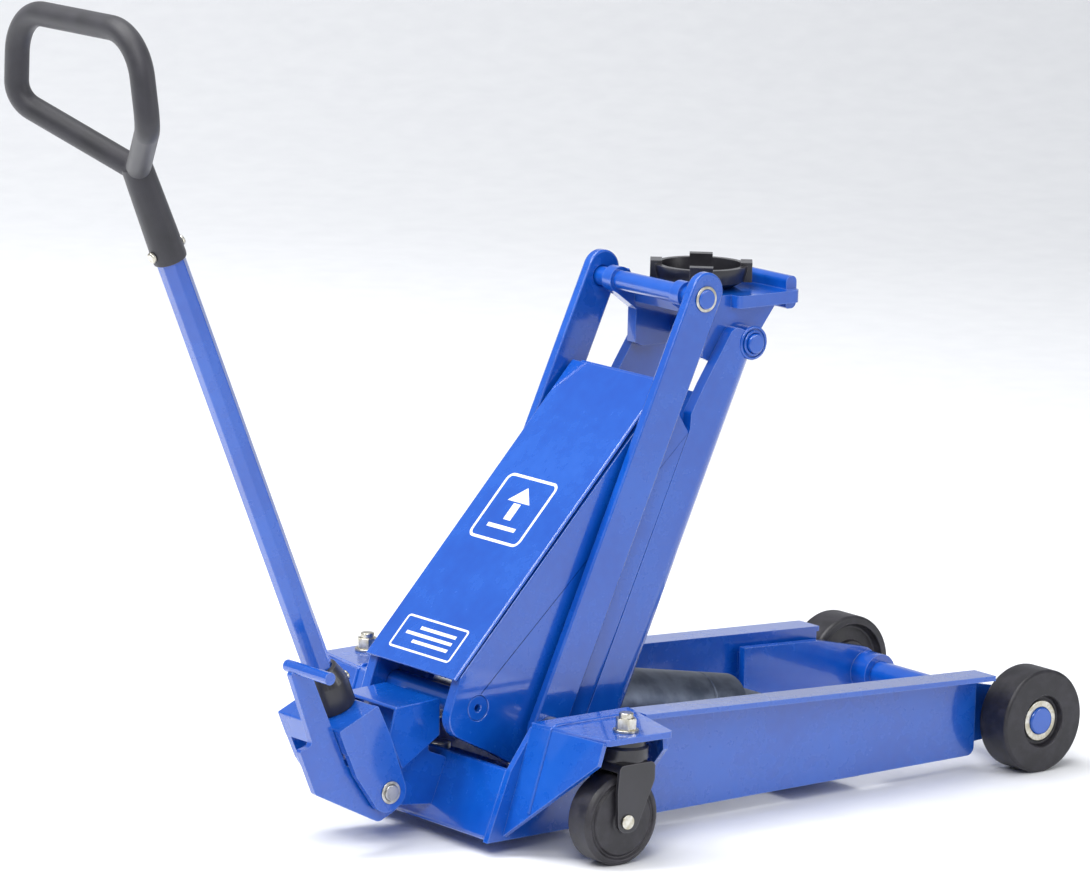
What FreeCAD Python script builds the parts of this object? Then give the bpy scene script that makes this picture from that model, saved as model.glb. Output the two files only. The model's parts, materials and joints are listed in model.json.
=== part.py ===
"""Workshop trolley jack, six tonne class, as a parametric FreeCAD document.

X runs forward to the load end, Y to the left, Z up, in millimetres. The floor is Z = 0 and the
origin is under the middle of the jack. The jack is drawn with its lifting arm near full height.
"""
import FreeCAD, Part
import math
import os
from FreeCAD import Vector, Rotation, Placement

doc = FreeCAD.newDocument("TrolleyJack")
sheet = doc.addObject("Spreadsheet::Sheet", "Dims")

# Driving dimensions: alias -> millimetres or degrees.
DIMS = {
    # chassis
    "axle_fore": 588.4, "axle_high": 60.0, "wheel_rad": 60.0, "wheel_in": 145.0, "wheel_out": 190.0,
    "axle_rad": 16.0, "rail_in": 135.0, "rail_thick": 8.0, "flange_out": 171.0, "flange_thick": 6.0,
    "rail_low": 16.0, "rail_front_high": 115.0, "rail_rise": 0.042, "rail_front": 64.0,
    "rail_rear": 774.0, "pan_thick": 6.0, "rear_wall_high": 92.0,
    "cheek_in": 117.0, "cheek_thick": 10.0, "boss_in": 92.0, "boss_rad": 24.0,
    # casters
    "caster_back": 657.0, "caster_side": 230.0, "caster_trail": 15.0, "caster_rad": 50.0,
    "caster_wide": 36.0, "wing_top": 143.0, "wing_thick": 7.0, "wing_out": 258.0,
    # lifting gear
    "arm_angle": 65.9, "arm_long": 505.0, "arm_back": 570.0, "arm_low": 56.0,
    "link_back": 655.0, "link_low": 115.0,
    "plate_in": 66.0, "plate_thick": 14.0, "bar_in": 84.0, "bar_thick": 12.0, "bar_wide": 45.0,
    "head_pin_rad": 11.0, "shaft_rad": 11.0, "pivot_rad": 17.0,
    "ram_back": 741.0, "ram_high": 149.0, "ram_pin_rad": 14.0,
    # hydraulics
    "anchor_back": 282.0, "anchor_high": 70.0, "barrel_rad": 42.0, "rod_rad": 19.0,
    # saddle
    "saddle_back": 375.0, "saddle_top": 600.0, "saddle_rad": 57.0, "carrier_top": 571.0,
    # handle
    "yoke_back": 840.0, "yoke_high": 63.5, "handle_lean": 23.7, "tube_rad": 15.5,
    "grip_tube_rad": 13.0, "grip_half": 119.0, "grip_lean": 40.0, "grip_long": 174.0,
    # running clearances
    "fit": 0.05, "gap": 0.3,
}
for row, (alias, amount) in enumerate(DIMS.items(), start=1):
    sheet.set(f"A{row}", alias)
    sheet.set(f"B{row}", str(amount))
    sheet.setAlias(f"B{row}", alias)
doc.recompute()


def dim(alias):
    """A driving dimension, read back from the sheet."""
    return float(sheet.get(alias))


FIT = dim("fit")
AX = dim("axle_fore")
SIDES = (("left", 1), ("right", -1))
subparts = []


def keep(thing, label):
    """Give a finished sub-part its label, which names its file."""
    thing.Label = label
    subparts.append(thing)
    return thing


def back(distance):
    """X of a point that lies this far behind the front axle."""
    return AX - distance


# ---------------------------------------------------------------- drawing helpers
def loop_edges(points, radii=None):
    """A closed outline of straight runs, its corners rounded by radii (one number or a list)."""
    count = len(points)
    if radii is None:
        radii = 0
    if not isinstance(radii, (list, tuple)):
        radii = [radii] * count
    corners = [Vector(p[0], p[1], 0) for p in points]
    starts, ends, arcs = [], [], []
    for i, corner in enumerate(corners):
        before = (corners[i - 1] - corner)
        after = (corners[(i + 1) % count] - corner)
        before.normalize()
        after.normalize()
        half = before.getAngle(after) / 2
        if radii[i] <= 0:
            starts.append(corner)
            ends.append(corner)
            arcs.append(None)
            continue
        reach = radii[i] / math.tan(half)
        middle = (before + after)
        middle.normalize()
        centre = corner + middle * (radii[i] / math.sin(half))
        starts.append(corner + before * reach)
        ends.append(corner + after * reach)
        arcs.append(Part.Arc(starts[i], centre - middle * radii[i], ends[i]))
    edges = []
    for i in range(count):
        if arcs[i]:
            edges.append(arcs[i])
        following = starts[(i + 1) % count]
        if (following - ends[i]).Length > 1e-4:
            edges.append(Part.LineSegment(ends[i], following))
    return edges


def origin_plane(body, role):
    for feature in body.Origin.OriginFeatures:
        if feature.Role == role:
            return feature


def sketch_on(body, role, edges):
    sketch = body.newObject("Sketcher::SketchObject", "Outline")
    sketch.AttachmentSupport = [(origin_plane(body, role), "")]
    sketch.MapMode = "FlatFace"
    for edge in edges:
        sketch.addGeometry(edge, False)
    return sketch


def circle(u, v, radius):
    return Part.Circle(Vector(u, v, 0), Vector(0, 0, 1), radius)


def plate(label, points, y_low, thick, radii=None, holes=(), show=True):
    """A flat plate drawn in X and Z and padded along +Y from y_low; thick is an expression."""
    body = doc.addObject("PartDesign::Body", label)
    edges = loop_edges(points, radii)
    for hole in holes:
        edges.append(circle(*hole))
    pad = body.newObject("PartDesign::Pad", "Thickness")
    pad.Profile = sketch_on(body, "XZ_Plane", edges)
    pad.setExpression("Length", thick)
    pad.Reversed = True
    body.Tip = pad
    body.Placement.Base = Vector(0, y_low, 0)
    return keep(body, label) if show else body


def turned(label, points, place, radii=None, show=True):
    """A turned piece: an outline of (radius, height) revolved about its own Z, then placed."""
    body = doc.addObject("PartDesign::Body", label)
    turn = body.newObject("PartDesign::Revolution", "Turn")
    sketch = sketch_on(body, "XZ_Plane", loop_edges(points, radii))
    turn.Profile = sketch
    turn.ReferenceAxis = (sketch, ["V_Axis"])
    turn.Angle = 360
    body.Tip = turn
    body.Placement = place
    return keep(body, label) if show else body


def aim(x, y, z, direction=(0, 0, 1)):
    """A placement at a point, with the piece's own Z turned to a direction."""
    return Placement(Vector(x, y, z), Rotation(Vector(0, 0, 1), Vector(*direction)))


def rod(x, y, z, direction, radius, length):
    """A plain cylinder from a point; radius and length are sheet expressions."""
    cylinder = doc.addObject("Part::Cylinder", "Rod")
    cylinder.setExpression("Radius", radius)
    cylinder.setExpression("Height", length)
    cylinder.Placement = aim(x, y, z, direction)
    return cylinder


def block(x, y, z, size_x, size_y, size_z):
    box = doc.addObject("Part::Box", "Block")
    box.Length, box.Width, box.Height = size_x, size_y, size_z
    box.Placement.Base = Vector(x, y, z)
    return box


def fused(label, shapes, show=True):
    whole = doc.addObject("Part::MultiFuse", label)
    whole.Shapes = shapes
    whole.Refine = True
    return keep(whole, label) if show else whole


def cut(label, base, tool, show=True):
    result = doc.addObject("Part::Cut", label)
    result.Base, result.Tool = base, tool
    return keep(result, label) if show else result


def common(label, base, tool, show=True):
    """What two shapes share."""
    result = doc.addObject("Part::MultiCommon", label)
    result.Shapes = [base, tool]
    return keep(result, label) if show else result


def group(label, shapes):
    """Separate identical pieces that share one node."""
    compound = doc.addObject("Part::Compound", label)
    compound.Links = shapes
    return keep(compound, label)


def ring(x, y, z, direction, inner, outer, thick):
    """A washer or retaining ring, faced along a direction from a point."""
    profile = [(inner, 0), (outer, 0), (outer, thick), (inner, thick)]
    return turned("Ring", profile, aim(x, y, z, direction), show=False)


ALONG_Y = (0, 1, 0)
ACROSS = {1: (0, 1, 0), -1: (0, -1, 0)}

# ---------------------------------------------------------------- chassis rails
RAIL_IN, RAIL_T = dim("rail_in"), dim("rail_thick")
FLANGE_T, LOW = dim("flange_thick"), dim("rail_low")
RAIL_OUT = RAIL_IN + RAIL_T


def rail_top(distance):
    """Height of the rail's sloping top, this far behind the front axle."""
    return dim("rail_front_high") + dim("rail_rise") * distance


ARM_X, ARM_Z = back(dim("arm_back")), dim("arm_low")
LINK_X, LINK_Z = back(dim("link_back")), dim("link_low")
FLANGE_REAR, WEB_STEP, WALL_TOP_BACK = 579.0, 582.0, 744.0
rail_front, rail_rear = dim("rail_front"), dim("rail_rear")
web_outline = [
    (back(rail_rear), LOW), (back(rail_front), LOW + 4), (back(rail_front), rail_top(rail_front)),
    (back(WEB_STEP), rail_top(FLANGE_REAR)),
    (back(WEB_STEP), dim("wing_top") - dim("wing_thick")),
    (back(712), dim("wing_top") - dim("wing_thick")),
    (back(WALL_TOP_BACK), dim("rear_wall_high")),
]
web_holes = [(ARM_X, ARM_Z, dim("pivot_rad") + FIT), (LINK_X, LINK_Z, dim("head_pin_rad") + FIT)]
for side, way in SIDES:
    web_low = RAIL_IN if way > 0 else -RAIL_OUT
    web = plate("Web", web_outline, web_low, "Dims.rail_thick",
                [0, 10, 0, 0, 0, 0, 0], web_holes, show=False)
    front, rear = rail_front - 4, FLANGE_REAR
    flange_outline = [
        (back(rear), rail_top(rear)), (back(front), rail_top(front)),
        (back(front), rail_top(front) - FLANGE_T), (back(rear), rail_top(rear) - FLANGE_T),
    ]
    flange_low = RAIL_IN if way > 0 else -dim("flange_out")
    flange = plate("Flange", flange_outline, flange_low, "Dims.flange_out - Dims.rail_in",
                   show=False)
    fused(f"side_rail_{side}", [web, flange])

# Cheek plates carry the front axle inside the rails' front ends.
AXLE_Z = dim("axle_high")
CHEEK_T = dim("cheek_thick")
cheek_outline = [
    (back(190), LOW + 6), (back(-6), LOW + 18), (back(-27), AXLE_Z), (back(-6), AXLE_Z + 27),
    (back(76), rail_top(76) - 13), (back(190), rail_top(190) - 13),
]
for side, way in SIDES:
    low = dim("cheek_in") if way > 0 else -dim("cheek_in") - CHEEK_T
    cheek = plate("Cheek", cheek_outline, low, "Dims.cheek_thick", [12, 26, 20, 26, 14, 0],
                  show=False)
    boss = rod(AX, way * dim("boss_in"), AXLE_Z, ACROSS[way], "Dims.boss_rad",
               "Dims.cheek_in - Dims.boss_in + 2")
    foot = block(back(186), (dim("cheek_in") + CHEEK_T - 1) * way - (0 if way > 0 else
                 RAIL_IN - dim("cheek_in") - CHEEK_T + 1), LOW + 16, 60,
                 RAIL_IN - dim("cheek_in") - CHEEK_T + 1, 70)
    solid = fused("CheekSolid", [cheek, boss, foot], show=False)
    bore = rod(AX, way * (dim("boss_in") - 5), AXLE_Z, ACROSS[way], "Dims.axle_rad + Dims.fit",
               "60")
    cut(f"axle_cheek_{side}", solid, bore)

# One folded pan closes the rear of the chassis: a floor and a rear wall that leans forward.
PAN_T = dim("pan_thick")
REAR = back(rail_rear)
WALL_HIGH = dim("rear_wall_high")
WALL_SLOPE = (rail_rear - WALL_TOP_BACK) / (WALL_HIGH - LOW)


def wall_x(height):
    """X of the rear wall's outer face at this height."""
    return REAR + WALL_SLOPE * (height - LOW)


wall_foot = PAN_T * math.sqrt(1 + WALL_SLOPE ** 2)
pan_points = [(REAR, LOW), (REAR + 134, LOW), (REAR + 134, LOW + PAN_T),
              (wall_x(LOW + PAN_T) + wall_foot, LOW + PAN_T), (wall_x(WALL_HIGH) + wall_foot, WALL_HIGH),
              (wall_x(WALL_HIGH), WALL_HIGH)]
plate("rear_pan", pan_points, -RAIL_IN, "2 * Dims.rail_in", [5, 0, 0, 4, 0, 0])
PIPE_SIDE, PIPE_RAD, UNION_R, UNION_LONG = 112.0, 4.0, 7.4, 9.0
PIPE_Z = LOW + PAN_T + UNION_R + 0.2

# A flat cross plate ties the rails together under the ram's front anchor.
ANCHOR_X, ANCHOR_Z = back(dim("anchor_back")), dim("anchor_high")
cross_plate = block(ANCHOR_X - 50, -RAIL_IN, LOW, 100, 2 * RAIL_IN, PAN_T)

# ---------------------------------------------------------------- caster wings
WING_T, WING_Z = dim("wing_thick"), dim("wing_top")
CAST_X, CAST_Y = back(dim("caster_back")), dim("caster_side")
WING_OUT = dim("wing_out")


def slab(points, thick):
    """A flat plate through three or more corners in space, thickened to one side."""
    feature = doc.addObject("Part::Feature", "Slab")
    corners = [Vector(*p) for p in points]
    face = Part.Face(Part.makePolygon(corners + corners[:1]))
    normal = (corners[1] - corners[0]).cross(corners[2] - corners[0])
    normal.normalize()
    feature.Shape = face.extrude(normal * thick)
    return feature


def braced(inner, outer, low, drop, thick):
    """A triangular brace plate, its outer corner cut off parallel to its inner edge."""
    cut_corner = Vector(*outer) + (Vector(*low) - Vector(*inner)) * drop
    return slab([inner, outer, tuple(cut_corner), low], thick)


for side, way in SIDES:
    wing = doc.addObject("PartDesign::Body", "Wing")
    top_points = [(back(582), way * RAIL_OUT), (back(614), way * WING_OUT),
                  (back(700), way * (WING_OUT - 4)), (back(717), way * RAIL_OUT)]
    edges = loop_edges(top_points, [0, 5, 5, 0]) + [circle(CAST_X, way * CAST_Y, 8.2)]
    pad = wing.newObject("PartDesign::Pad", "Thickness")
    pad.Profile = sketch_on(wing, "XY_Plane", edges)
    pad.setExpression("Length", "Dims.wing_thick")
    wing.Tip = pad
    wing.Placement.Base = Vector(0, 0, WING_Z - WING_T)
    under = WING_Z - WING_T / 2
    skirt = braced((back(717), way * (RAIL_OUT - 1), under), (back(704), way * (WING_OUT - 8), under),
                   (back(754), way * (RAIL_OUT - 1), LOW + 4), 0.2, -6 * way)
    gusset = braced((back(586), way * (RAIL_OUT - 1), under), (back(615), way * (WING_OUT - 8), under),
                    (back(576), way * (RAIL_OUT - 1), LOW + 16), 0.16, 6 * way)
    wing_solid = fused("WingSolid", [wing, skirt, gusset], show=False)
    rail_space = block(back(780), min(0, way * RAIL_OUT), LOW - 10, 260, RAIL_OUT, WING_Z + 10)
    cut(f"caster_wing_{side}", wing_solid, rail_space)

# ---------------------------------------------------------------- front axle and wheels
W_IN, W_OUT, W_R = dim("wheel_in"), dim("wheel_out"), dim("wheel_rad")
AXLE_R = dim("axle_rad")
AXLE_END = W_OUT - 3.0
keep(rod(AX, -AXLE_END, AXLE_Z, ALONG_Y, "Dims.axle_rad", str(2 * AXLE_END)), "front_axle")
BUSH_R = AXLE_R + 3.5
rings = []
for side, way in SIDES:
    place = aim(AX, way * W_IN, AXLE_Z, ACROSS[way])
    wide = W_OUT - W_IN
    wheel_outline = [
        (BUSH_R + 0.02, 0), (30, 0), (30, 5), (46, 9), (50, 3), (50, 0), (W_R - 2, 0), (W_R, 3),
        (W_R, wide - 3), (W_R - 3, wide), (30, wide), (28, wide - 9), (BUSH_R + 0.02, wide - 9),
    ]
    turned(f"front_wheel_{side}", wheel_outline, place)
    bush_outline = [(AXLE_R + FIT, 0.5), (BUSH_R, 0.5), (BUSH_R, wide - 9), (AXLE_R + FIT, wide - 9)]
    turned(f"wheel_bush_{side}", bush_outline, place)
    rings.append(ring(AX, way * (W_OUT - 8.4), AXLE_Z, ACROSS[way], AXLE_R + 0.01, 23.5, 2.4))
    washer_long = W_IN - dim("cheek_in") - CHEEK_T - 0.8
    rings.append(ring(AX, way * (W_IN - 0.4), AXLE_Z, ACROSS[-way], AXLE_R + 0.02, 22, washer_long))
group("axle_rings", rings)

# ---------------------------------------------------------------- casters
CASTER_R, TRAIL = dim("caster_rad"), dim("caster_trail")
WHEEL_X = CAST_X - TRAIL
nuts, studs = [], []
for side, way in SIDES:
    y = way * CAST_Y
    studs.append(turned("Stud", [(0, WING_Z + 21), (0, 106), (19, 106), (19, 109.6), (7.9, 109.6),
                                 (7.9, WING_Z + 20), (7, WING_Z + 21)], aim(CAST_X, y, 0), show=False))
    hexagon = [(12 * math.cos(math.radians(60 * k)), 12 * math.sin(math.radians(60 * k)))
               for k in range(6)]
    nut = doc.addObject("PartDesign::Body", "Nut")
    nut_pad = nut.newObject("PartDesign::Pad", "Height")
    nut_pad.Profile = sketch_on(nut, "XY_Plane", loop_edges(hexagon) + [circle(0, 0, 7.92)])
    nut_pad.Length = 12
    nut.Tip = nut_pad
    nut.Placement.Base = Vector(CAST_X, y, WING_Z + 3)
    nuts += [nut, ring(CAST_X, y, WING_Z, (0, 0, 1), 7.95, 14, 3)]
    # Fork: a swivel head, a bridge and two tapering sides.
    head = turned("Head", [(8.0, 112.6), (24, 112.6), (25, 116), (25, 127), (22, 130), (22, 135.7),
                           (8.0, 135.7)], aim(CAST_X, y, 0), show=False)
    fork_in = dim("caster_wide") / 2 + 2.8
    fork_out = fork_in + 4
    bridge_points = [(CAST_X - 27, 104.5), (CAST_X + 22, 104.5), (CAST_X + 22, 112.7),
                     (CAST_X - 27, 112.7)]
    bridge = plate("Bridge", bridge_points, y - fork_out, str(2 * fork_out), [0, 0, 6, 6], show=False)
    side_points = [(WHEEL_X - 12, 38), (WHEEL_X + 12, 38), (CAST_X + 22, 92), (CAST_X + 22, 105),
                   (CAST_X - 27, 105), (WHEEL_X - 14, 84)]
    cheeks = [plate("ForkSide", side_points, y + offset, "4", [11.5, 11.5, 12, 0, 0, 10], show=False)
              for offset in (-fork_out, fork_in)]
    fork = fused("ForkSolid", [head, bridge] + cheeks, show=False)
    hollow = rod(CAST_X, y, 100, (0, 0, 1), "19.4", "10")
    fork = cut("ForkHollow", fork, hollow, show=False)
    stud_bore = rod(CAST_X, y, 100, (0, 0, 1), "8", "20")
    fork = cut("ForkBored", fork, stud_bore, show=False)
    hole = rod(WHEEL_X, y - 30, CASTER_R, ALONG_Y, "5.02", "60")
    cut(f"caster_fork_{side}", fork, hole)
    pin_end = fork_out + 2.5
    turned(f"caster_axle_{side}",
           [(0, -pin_end), (8, -pin_end), (8, -fork_out), (5, -fork_out), (5, fork_out), (8, fork_out),
            (8, pin_end), (0, pin_end)], aim(WHEEL_X, y, CASTER_R, ALONG_Y))
    half = dim("caster_wide") / 2
    wheel_outline = [(5.06, -half - 2), (12, -half - 2), (14, -half), (CASTER_R - 12, -half),
                     (CASTER_R - 11, -half + 3), (CASTER_R - 8, -half + 3), (CASTER_R - 7, -half),
                     (CASTER_R - 4, -half), (CASTER_R, -half + 4), (CASTER_R, half - 4),
                     (CASTER_R - 4, half), (CASTER_R - 7, half), (CASTER_R - 8, half - 3),
                     (CASTER_R - 11, half - 3), (CASTER_R - 12, half), (14, half), (12, half + 2),
                     (5.06, half + 2)]
    turned(f"caster_wheel_{side}", wheel_outline, aim(WHEEL_X, y, CASTER_R, ALONG_Y))
group("caster_studs", studs)
group("caster_nuts", nuts)

# ---------------------------------------------------------------- lifting arm
ANGLE = math.radians(dim("arm_angle"))
ARM_L = dim("arm_long")
PLATE_IN, PLATE_T = dim("plate_in"), dim("plate_thick")


def arm_point(along, ahead):
    """X and Z of a point given along the arm from its pivot, and ahead of its centre line."""
    x = ARM_X + along * math.cos(ANGLE) + ahead * math.sin(ANGLE)
    z = ARM_Z + along * math.sin(ANGLE) - ahead * math.cos(ANGLE)
    return (x, z)


HEAD_X, HEAD_Z = arm_point(ARM_L, 0)
LINK_TOP_X = LINK_X + ARM_L * math.cos(ANGLE)
LINK_TOP_Z = LINK_Z + ARM_L * math.sin(ANGLE)
RAM_X, RAM_Z = back(dim("ram_back")), dim("ram_high")
PIVOT_R = dim("pivot_rad")
cover_top, cover_low = (423, -102), (33, -236)
WALL_FRONT, WALL_REAR, WALL_FOOT = 12.0, -44.0, 44.0
plate_outline = [arm_point(*p) for p in (
    (-36, 30), (WALL_FOOT - 0.2, 30), (WALL_FOOT - 0.2, WALL_REAR - 0.2), (384, WALL_REAR - 0.2),
    (cover_top[0] - 4, cover_top[1] + 4), (cover_low[0] + 6, cover_low[1] + 4), (-22, -226), (-25, -152),
    (-36, -30))]
plate_radii = [30, 6, 0, 4, 3, 8, 24, 30, 30]
ram_hole = (RAM_X, RAM_Z, dim("ram_pin_rad") + 0.02)
bush_hole = (ARM_X, ARM_Z, PIVOT_R + 3.02)
for side, way in SIDES:
    low = PLATE_IN if way > 0 else -PLATE_IN - PLATE_T
    plate(f"arm_plate_{side}", plate_outline, low, "Dims.plate_thick", plate_radii,
          [ram_hole, bush_hole])

# The arm's front channel: folded with wide round corners, and open behind. Its web is cut away
# below for the ram and above for the saddle carrier, and its walls run on to the head pin.
PLATE_OUT = PLATE_IN + PLATE_T
WEB_LOW, WEB_HIGH, CORNER_R = 338.0, 436.0, 22.0
chan_body = doc.addObject("PartDesign::Body", "Channel")
section = loop_edges([(WALL_REAR - 8, -PLATE_OUT), (WALL_FRONT, -PLATE_OUT), (WALL_FRONT, PLATE_OUT),
                      (WALL_REAR - 8, PLATE_OUT), (WALL_REAR - 8, PLATE_IN),
                      (WALL_FRONT - PLATE_T, PLATE_IN), (WALL_FRONT - PLATE_T, -PLATE_IN),
                      (WALL_REAR - 8, -PLATE_IN)],
                     [0, CORNER_R, CORNER_R, 0, 0, 8, 8, 0])
chan_pad = chan_body.newObject("PartDesign::Pad", "Length")
chan_pad.Profile = sketch_on(chan_body, "XY_Plane", section)
chan_pad.Length = ARM_L - WALL_FOOT + 30
chan_body.Tip = chan_pad
start = arm_point(WALL_FOOT, 0)
lean = Rotation(Vector(0, 1, 0), 90 - dim("arm_angle"))
chan_body.Placement = Placement(Vector(start[0], 0, start[1]), lean)
wall_outline = [arm_point(*p) for p in (
    (WALL_FOOT, WALL_REAR), (WALL_FOOT, WALL_FRONT + 2), (491, WALL_FRONT + 2), (504, 11), (514, -8),
    (514, -34), (440, -46), (404, -50), (388, WALL_REAR))]
wall_space = plate("WallSpace", wall_outline, -PLATE_OUT, "2 * (Dims.plate_in + Dims.plate_thick)",
                   [0, 0, 4, 8, 14, 12, 20, 8, 8], show=False)
channel_trimmed = common("ChannelTrimmed", chan_body, wall_space, show=False)
INNER_HALF = PLATE_IN - 8
for half_wide, along_low, along_high in ((INNER_HALF, 0, WEB_LOW), (PLATE_IN, WEB_HIGH, ARM_L + 50)):
    window = doc.addObject("Part::Box", "Window")
    window.Length, window.Width, window.Height = 90, 2 * half_wide, along_high - along_low
    corner = Vector(WALL_FRONT + 5 - 90, -half_wide, along_low - WALL_FOOT)
    window.Placement = Placement(chan_body.Placement.multVec(corner), lean)
    channel_trimmed = cut("ChannelCut", channel_trimmed, window, show=False)
boss_pieces = [channel_trimmed]
HEAD_BOSS_R = 18.0
for side, way in SIDES:
    boss_pieces.append(rod(HEAD_X, way * PLATE_IN, HEAD_Z, ACROSS[way], str(HEAD_BOSS_R),
                           "Dims.plate_thick"))
channel_solid = fused("ChannelSolid", boss_pieces, show=False)
head_bore = rod(HEAD_X, -100, HEAD_Z, ALONG_Y, "Dims.head_pin_rad + Dims.fit", "200")
cut("arm_channel", channel_solid, head_bore)


# The cover: a sheet over the wedge, its long edges rounded and its top edge turned down.
def cover_shape(height):
    """Outline of a cover layer lifted this far off the plates' sloping edge."""
    (top_along, top_ahead), (low_along, low_ahead) = cover_top, cover_low
    run, rise = low_along - top_along, low_ahead - top_ahead
    length = math.hypot(run, rise)
    up = (-rise / length, run / length)
    return [(top_along + up[0] * height, top_ahead + up[1] * height),
            (low_along + up[0] * height, low_ahead + up[1] * height)]


sheet_outer, sheet_inner = cover_shape(3.2), cover_shape(0.2)
skin_points = [arm_point(*p) for p in (sheet_outer[0], sheet_outer[1], sheet_inner[1], sheet_inner[0])]
skin = plate("Skin", skin_points, -PLATE_OUT, "2 * (Dims.plate_in + Dims.plate_thick)",
             show=False)
skin_round = doc.addObject("Part::Fillet", "SkinRound")
skin_round.Base = skin
doc.recompute()
outer_mid = [Vector(x, 0, z) for x, z in skin_points[:2]]
edges_to_round = []
for index, edge in enumerate(skin.Shape.Edges, start=1):
    if edge.Length < 300:
        continue
    middle = edge.valueAt((edge.FirstParameter + edge.LastParameter) / 2)
    flat = Vector(middle.x, 0, middle.z)
    if flat.distanceToLine(outer_mid[0], outer_mid[1] - outer_mid[0]) < 0.1:
        edges_to_round.append((index, 2.6, 2.6))
skin_round.Edges = edges_to_round
lip_in = [arm_point(*p) for p in (cover_shape(1.5)[0], cover_shape(-10)[0])]
lip = slab([(lip_in[0][0], -PLATE_IN + 0.4, lip_in[0][1]), (lip_in[0][0], PLATE_IN - 0.4, lip_in[0][1]),
            (lip_in[1][0], PLATE_IN - 0.4, lip_in[1][1]), (lip_in[1][0], -PLATE_IN + 0.4, lip_in[1][1])],
           -3)
fused("arm_cover", [skin_round, lip])

COLLAR_R = 22.0
bushes, pivots = [], []
for side, way in SIDES:
    bushes.append(ring(ARM_X, way * PLATE_IN, ARM_Z, ACROSS[way], PIVOT_R + FIT, PIVOT_R + 3, PLATE_T))
    pin_outline = [(0, 52), (PIVOT_R - 2, 52), (PIVOT_R, 54), (PIVOT_R, 81), (COLLAR_R, 81),
                   (COLLAR_R, RAIL_IN),
                   (PIVOT_R, RAIL_IN), (PIVOT_R, RAIL_OUT - 0.2), (0, RAIL_OUT - 0.2)]
    pivots.append(turned("Pivot", pin_outline, aim(ARM_X, 0, ARM_Z, ACROSS[way]), show=False))
group("arm_pivot_bushes", bushes)
group("arm_pivot_pins", pivots)
ram_pin = rod(RAM_X, 0.5 - PLATE_OUT, RAM_Z, ALONG_Y, "Dims.ram_pin_rad",
              "2 * (Dims.plate_in + Dims.plate_thick) - 1")
center_hole = rod(RAM_X, -PLATE_OUT, RAM_Z, ALONG_Y, "4", "12")
keep(cut("RamPinDrilled", ram_pin, center_hole, show=False), "ram_pin")

# ---------------------------------------------------------------- link bars
BAR_IN, BAR_T, BAR_R = dim("bar_in"), dim("bar_thick"), dim("bar_wide") / 2
SHAFT_R = dim("shaft_rad")
NORMAL = (math.sin(ANGLE), -math.cos(ANGLE))
BAR_OVER = 7.0


def bar_point(along, ahead):
    """X and Z of a point along a link bar from its lower pivot, and ahead of its centre line."""
    return (LINK_X + along * math.cos(ANGLE) + ahead * NORMAL[0],
            LINK_Z + along * math.sin(ANGLE) + ahead * NORMAL[1])


bar_outline = [bar_point(-BAR_R, -BAR_R), bar_point(-BAR_R, BAR_R),
               bar_point(ARM_L + BAR_R + BAR_OVER, BAR_R), bar_point(ARM_L + BAR_R + BAR_OVER, -BAR_R)]
PIN_R = dim("head_pin_rad")
link_rings, link_pins = [], []
for side, way in SIDES:
    low = BAR_IN if way > 0 else -BAR_IN - BAR_T
    plate(f"link_bar_{side}", bar_outline, low, "Dims.bar_thick", BAR_R - 0.5,
          [(LINK_X, LINK_Z, PIN_R + FIT), (LINK_TOP_X, LINK_TOP_Z, SHAFT_R + 0.01)])
    outer = BAR_IN + BAR_T
    link_rings.append(ring(LINK_TOP_X, way * (outer + 0.3), LINK_TOP_Z, ACROSS[way], SHAFT_R + 0.01,
                           14.5, 1.8))
    pin_outline = [(0, BAR_IN - 1.5), (14, BAR_IN - 1.5), (14, BAR_IN - 0.3), (PIN_R, BAR_IN - 0.3),
                   (PIN_R, outer + 0.3), (17, outer + 0.3), (17, RAIL_IN), (PIN_R, RAIL_IN),
                   (PIN_R, RAIL_OUT + 1), (0, RAIL_OUT + 1)]
    link_pins.append(turned("LinkPin", pin_outline, aim(LINK_X, 0, LINK_Z, ACROSS[way]), show=False))
group("link_rings", link_rings)
group("link_pivot_pins", link_pins)
shaft_half = BAR_IN + BAR_T + 4.0
shaft_outline = [(0, -shaft_half), (SHAFT_R - 1, -shaft_half), (SHAFT_R, 1 - shaft_half),
                 (SHAFT_R, shaft_half - 1), (SHAFT_R - 1, shaft_half), (0, shaft_half)]
turned("link_shaft", shaft_outline, aim(LINK_TOP_X, 0, LINK_TOP_Z, ALONG_Y))

# ---------------------------------------------------------------- saddle carrier
CAR_TOP = dim("carrier_top")
SAD_X = back(dim("saddle_back"))
CAR_T = 14.0
CAR_IN, CAR_OUT, CAR_WIDE = 51.0, PLATE_IN - 0.4, 80.0
carrier_front, carrier_rear, carrier_step = back(294), HEAD_X - 64, HEAD_X - 22
top_plate = doc.addObject("PartDesign::Body", "CarrierTop")
top_pad = top_plate.newObject("PartDesign::Pad", "Thickness")
top_edges = loop_edges([(carrier_rear, -CAR_OUT), (carrier_step, -CAR_OUT), (carrier_step, -CAR_WIDE),
                        (carrier_front, -CAR_WIDE), (carrier_front, CAR_WIDE), (carrier_step, CAR_WIDE),
                        (carrier_step, CAR_OUT), (carrier_rear, CAR_OUT)],
                       [4, 0, 6, 10, 10, 6, 0, 4]) + [circle(SAD_X, 0, 20.05)]
top_pad.Profile = sketch_on(top_plate, "XY_Plane", top_edges)
top_pad.Length = CAR_T
top_plate.Tip = top_pad
top_plate.Placement.Base = Vector(0, 0, CAR_TOP - CAR_T)
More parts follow.
